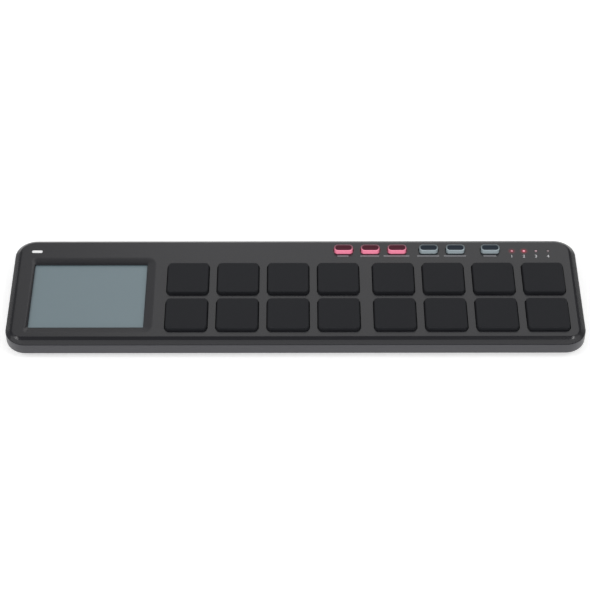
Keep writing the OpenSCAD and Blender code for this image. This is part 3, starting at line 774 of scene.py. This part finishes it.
for k, name in enumerate(lenses, start=1):
    pink = k <= LIT_BUTTONS
    centre, top = middle_mm(name), box_mm(name)[1][2]
    cap_centre = middle_mm(f"button_cap_{k}")
    lens = made(f"{name}_body", f"button_{k}",
                lens_lit if pink else lens_unlit, [skin(lens_rings(centre, cap_centre, top))])
    # On the unlit buttons this front-wall glow is painted light, a paler and faintly shining wall
    # with no lamp behind it.
    marked(lens, lambda points: (0.5 - (points[:, 1] - centre[1]) / BUTTON_D).clip(0, 1) ** 2)
    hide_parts(name)
    # Caps on the lit buttons take the rose finish, whose tone is painted light from the lamp below.
    cap = made(f"button_cap_{k}_dish", f"button_{k}",
               cap_lit if pink else cap_unlit, [skin(cap_rings(cap_centre, top))])
    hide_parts(f"button_cap_{k}")

# %% [markdown]
# The four channel lights and the power light are the ends of clear guides that carry a
# lamp's light up from the board. Each ends in a low dome a fraction of a millimetre proud
# of the panel. A channel light is brightest in its middle, and the power light, which is a
# short bar, dims a little towards its ends.

# %% Lights
GUIDE_LOW = 8.0
GUIDE_LEAD, DOME = 0.2, 0.15
LIGHT_CORE, POWER_FALL = 1.1, 0.3


def guide_rings(outline, top):
    """Rings of a light guide: its foot, its straight stem and a dome that is a quarter of
    an ellipse, cosine in plan and sine in height."""
    stem = carried(outline, [(GUIDE_LEAD, GUIDE_LOW), (0, GUIDE_LOW), (0, top - DOME)])
    lean = np.linspace(0, pi / 2, 6)
    dome = shrunk(stem[-1], np.cos(lean), top - DOME + DOME * np.sin(lean))
    under = shrunk(stem[0], [0.0, 0.5], [GUIDE_LOW] * 2)
    return np.concatenate([under, stem, dome[1:]])


guide_finish = [light_dim, light_bright, light_faint, light_off]
for k, x in enumerate(light_x, start=1):
    outline = rounded_outline(LIGHT_D, LIGHT_D, LIGHT_D / 2, (x, light_y), 8)
    guide = made(f"channel_light_{k}", "case", guide_finish[k - 1],
                 [skin(guide_rings(outline, light_high[2]))])
    # The fourth guide is off, so its glow is painted light.
    marked(guide, lambda points: LIGHT_CORE
           - np.hypot(*(points[:, :2] - (x, light_y)).T) / (LIGHT_D / 2))
    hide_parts("channel_lights")

power_outline = rounded_outline(POWER_W, POWER_D, POWER_R, (power_x, power_y), 8)
power = made("power_light", "case", power_glow,
             [skin(guide_rings(power_outline, box_mm("power_lens")[1][2]))])
marked(power, lambda points: 1 - POWER_FALL * (2 * (points[:, 0] - power_x) / POWER_W) ** 2)
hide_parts("power_lens")

# %% [markdown]
# Four rubber feet carry the case. A real one is a moulded disc, glued into its pocket, with
# a dished face that grips. Each is one more profile round a circle, and all four make one
# piece, because they come as a set.

# %% Rubber feet
FOOT_D = 10.0
FOOT_UNDER_LEAD, FOOT_TOP_LEAD, FOOT_RADII = 1.6, 1.0, [0.4, 0.1]
DISH_SCALES, DISH_HEIGHTS = [0.0, 0.7, 0.9], [0.25, 0.25, 0.15]
foot_high = box_mm("rubber_feet")[1][2]
foot_profile = softened(
    [(FOOT_UNDER_LEAD, 0), (0, 0), (0, foot_high), (FOOT_TOP_LEAD, foot_high)], FOOT_RADII)
foot_parts = []
for centre in foot_middles:
    wall = carried(rounded_outline(FOOT_D, FOOT_D, FOOT_D / 2, centre, 12), foot_profile)
    dish = shrunk(wall[0], DISH_SCALES, DISH_HEIGHTS)
    lid = shrunk(wall[-1], [0.5, 0.0], [foot_high] * 2)
    foot_parts.append(skin(np.concatenate([dish, wall, lid])))
feet = made("rubber_foot_set", "case", foot_rubber, foot_parts)
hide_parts("rubber_feet")

# %% [markdown]
# The print. Ink lies on the panel, a few hundredths of a millimetre thick: a short grey dash
# in front of each button and a small white digit in front of each channel light. A dash is
# one more rounded outline. The digits come from Blender's own font, turned into triangles.

# %% Dashes
INK_Z = (panel_z + 0.005, panel_z + 0.035)
PRINT_Y = 26.1
DASH_D, DASH_R, DASH_SHIFT = 1.3, 0.4, -0.4
DASH_W = (6.4, 11.0, 15.0, 12.8, 12.8, 7.5)


def ink_dash(width, centre):
    """A thin rounded bar, closed by a pole above and below."""
    rings = carried(rounded_outline(width, DASH_D, DASH_R, centre, 4), [(0, z) for z in INK_Z])
    under, over = shrunk(rings[0], [0.0], INK_Z[:1]), shrunk(rings[-1], [0.0], INK_Z[1:])
    return skin(np.concatenate([under, rings, over]))


dashes = [ink_dash(width, (middle_mm(name)[0] + DASH_SHIFT, PRINT_Y))
          for width, name in zip(DASH_W, lenses)]
made("button_dashes", "case", ink, dashes)

# %% Digits
DIGIT_SIZE = 3.0
DIGIT_SHIFT = (-0.3, -0.4)


def ink_digit(digit, centre):
    """A digit of the built-in font as millimetre triangles, centred on a point."""
    letter = bpy.data.curves.new("digit", "FONT")
    letter.body, letter.align_x, letter.align_y = str(digit), "CENTER", "CENTER"
    letter.size, letter.extrude = DIGIT_SIZE, (INK_Z[1] - INK_Z[0]) / 2
    text = bpy.data.objects.new("digit", letter)
    scene.collection.objects.link(text)
    view = bpy.context.evaluated_depsgraph_get()
    mesh = bpy.data.meshes.new_from_object(text.evaluated_get(view))
    mesh.calc_loop_triangles()
    corners = np.empty(3 * len(mesh.loop_triangles), int)
    mesh.loop_triangles.foreach_get("vertices", corners)
    bpy.data.objects.remove(text)
    return positions(mesh) + (*centre, sum(INK_Z) / 2), corners.reshape(-1, 3)


digits = [ink_digit(k, (x + DIGIT_SHIFT[0], PRINT_Y + DIGIT_SHIFT[1]))
          for k, x in enumerate(light_x, start=1)]
made("channel_digits", "case", white_ink, digits)

# %% [markdown]
# The inner parts keep their solids and only take a finish. Few of them are ever seen, but a
# view into the port or an opened case should meet the right stuff: plated steel, green
# laminate, amber polyimide, black epoxy, ivory nylon.

# %% Metals and boards
# Zinc-plated screws: bright, with the small scratches of a driver.
zinc_steel = finish("zinc_plated_steel", "#a9adb3", "#b9bcc0", 0.32, 0.3, 0.004, 3, Metallic=1.0)
# Tinned socket shell: paler and duller than the screws.
tinned_steel = finish("tinned_steel", "#b9b9b6", "#c6c6c3", 0.38, 0.5, 0.003, 4, Metallic=1.0)
# Rolled aluminium plate behind the touch sensor: soft, with a cloudy sheen.
rolled_aluminium = finish("rolled_aluminium", "#b4b7ba", "#c2c5c8", 0.4, 0.6, 0.003, 15,
                          Metallic=1.0)
# Glass-epoxy laminate under green solder mask: glossy, with a weave that lifts the mask.
green_laminate = finish("solder_masked_laminate", "#17472f", "#1f5a3c", 0.28, 0.9, 0.01, 8,
                        IOR=1.5)
# Polyimide ribbon: amber, smooth and glossy.
amber_polyimide = finish("amber_polyimide", "#a8641f", "#bd7a30", 0.25, 1.5, 0.004, 6, IOR=1.7)
print("materials:", len(bpy.data.materials))

# %% Plastics, resins and rubbers inside
# Moulded nylon: a waxy half gloss, ivory on the connector and black in the socket.
ivory_nylon = finish("ivory_nylon", "#ddd8c8", "#e6e2d4", 0.5, 0.5, 0.006, 5, IOR=1.53)
black_nylon = finish("black_nylon", "#161618", "#1d1d20", 0.45, 0.4, 0.005, 5, IOR=1.53)
# Chip package: black epoxy, dull from its fine mineral filling.
black_epoxy = finish("black_epoxy", "#1b1c1e", "#232427", 0.55, 0.3, 0.006, 4, IOR=1.55)
# Lamps: a yellow phosphor in clear resin.
led_resin = finish("phosphor_resin", "#e2d79a", "#efe6b8", 0.3, 0.4, 0.004, 2, IOR=1.5)
# Mats under the keys: grey silicone, as matte as the pads.
mat_silicone = finish("grey_mat_silicone", "#4a4b4f", "#55565a", 0.65, 0.6, 0.008, 15, IOR=1.41)
# Pressure film: carbon ink printed on a plastic sheet, dark and slightly uneven.
carbon_film = finish("printed_carbon_film", "#2b2b2c", "#3a3835", 0.5, 0.8, 0.003, 12, IOR=1.6)
print("materials:", len(bpy.data.materials))

# %% Solids that stay, with their finishes
kept = {
    touch_coat: ["touch_film"],
    zinc_steel: ["case_screws", "board_screws", "crystal"],
    tinned_steel: ["usb_socket_shell"],
    rolled_aluminium: ["touch_backing_plate"],
    green_laminate: ["main_board", "touch_sensor_board"],
    amber_polyimide: ["touch_ribbon"],
    ivory_nylon: ["ribbon_connector"],
    black_nylon: ["usb_socket_insert"],
    black_epoxy: ["controller_chip"],
    led_resin: ["button_leds", "channel_leds", "power_led"],
    mat_silicone: ["pad_mat", "button_mat"],
    carbon_film: ["pad_sensor_film"],
}
for material, names in kept.items():
    for name in names:
        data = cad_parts[name].data
        data.materials.clear()
        data.materials.append(material)
print("solids kept:", sum(map(len, kept.values())))

# %% [markdown]
# The stage is a pale floor that runs out into white. It is lit like any floor, so it keeps
# the object's shadow. The camera and mirrors also see it shine a little, less near the object
# and fully white far away, which makes the background without more light on the object.

# %% Floor
FLOOR_HALF = 40.0
FLOOR_GREY = 0.86
SHINE_NEAR, SHINE_FAR = (0.6, 0.5), (3.0, 1.0)


def floor_material():
    """Pale matte floor whose emission rises with the distance from the object, between two
    (distance, strength) pairs, for camera, glossy and transmission rays alone."""
    material = bpy.data.materials.new("studio_floor")
    material.use_nodes = True
    tree = material.node_tree
    shader = tree.nodes["Principled BSDF"]
    shader.inputs["Base Color"].default_value = (FLOOR_GREY, FLOOR_GREY, FLOOR_GREY, 1)
    shader.inputs["Roughness"].default_value = 0.9
    shader.inputs["Emission Color"].default_value = (1, 1, 1, 1)
    place = add(tree, "ShaderNodeTexCoord", {})
    away = add(tree, "ShaderNodeVectorMath", {"operation": "LENGTH"}, {0: place.outputs["Object"]})
    level = add(tree, "ShaderNodeMapRange",
                {"From Min": SHINE_NEAR[0], "From Max": SHINE_FAR[0],
                 "To Min": SHINE_NEAR[1], "To Max": SHINE_FAR[1]},
                {"Value": away.outputs["Value"]})
    ray = add(tree, "ShaderNodeLightPath", {})
    mirrored = add(tree, "ShaderNodeMath", {"operation": "MAXIMUM"},
                   {0: ray.outputs["Is Glossy Ray"], 1: ray.outputs["Is Transmission Ray"]})
    seen = add(tree, "ShaderNodeMath", {"operation": "MAXIMUM"},
               {0: ray.outputs["Is Camera Ray"], 1: mirrored.outputs[0]})
    shine = add(tree, "ShaderNodeMath", {"operation": "MULTIPLY"},
                {0: seen.outputs[0], 1: level.outputs["Result"]})
    tree.links.new(shine.outputs[0], shader.inputs["Emission Strength"])
    return material


floor_mesh = bpy.data.meshes.new("floor")
floor_corners = [(-1, -1, 0), (1, -1, 0), (1, 1, 0), (-1, 1, 0)]
floor_mesh.from_pydata(np.array(floor_corners) * FLOOR_HALF, [], [(0, 1, 2, 3)])
floor_mesh.materials.append(floor_material())
floor = bpy.data.objects.new("floor", floor_mesh)
scene.collection.objects.link(floor)
print("floor:", 2 * FLOOR_HALF, "m square")

# %% [markdown]
# The case is dark and satin, so most of what is seen on it is reflection, and the lights are
# placed by what each surface mirrors towards the camera. The panel mirrors the large softbox
# behind the object, whose dimmer wing at the left lets the sheen fade there. The shoulder
# mirrors the softbox in front. Nothing hangs overhead, so the sloped rim, which mirrors the
# zenith, stays nearly black. Two small lamps make the glints at the front corners, and the
# softboxes at the sides and low in front light the matte parts.

# %% Lights and surround
SURROUND = 0.25
SOFTBOXES = [
    # name, place in metres, width, height, brightness
    ("back_softbox", (0.36, 1.95, 1.5), 1.32, 2.1, 1.1),
    ("back_wing", (-0.84, 1.9, 1.5), 1.1, 2.1, 0.5),
    ("front_softbox", (0, -1.8, 1.9), 4.0, 1.2, 0.95),
    ("left_key", (-2.4, -0.9, 1.4), 2.2, 1.8, 0.95),
    ("right_key", (2.4, -0.9, 1.4), 2.2, 1.8, 0.95),
    ("left_spot", (-1.2, -0.53, 1.64), 0.35, 0.35, 12),
    ("right_spot", (0.96, -0.53, 1.76), 0.35, 0.35, 12),
    ("low_softbox", (0, -2.4, 0.6), 3.0, 0.8, 0.7),
]


def softbox(name, place, width, height, brightness):
    """Area lamp that faces the middle of the object; a brightness of 1 looks white. A flat
    lamp gives its power evenly over its face, so power is pi times area times brightness."""
    data = bpy.data.lights.new(name, "AREA")
    data.shape = "RECTANGLE"
    data.size, data.size_y = width, height
    data.energy = pi * width * height * brightness
    lamp = bpy.data.objects.new(name, data)
    lamp.location = place
    lamp.rotation_euler = Vector(place).to_track_quat("Z", "Y").to_euler()
    scene.collection.objects.link(lamp)


for settings in SOFTBOXES:
    softbox(*settings)

world = bpy.data.worlds.new("white_surround")
world.use_nodes = True
scene.world = world
backdrop = world.node_tree.nodes["Background"]
backdrop.inputs["Color"].default_value = (1, 1, 1, 1)
backdrop.inputs["Strength"].default_value = SURROUND
scene.view_settings.view_transform = "Standard"
print("lamps:", len(SOFTBOXES))
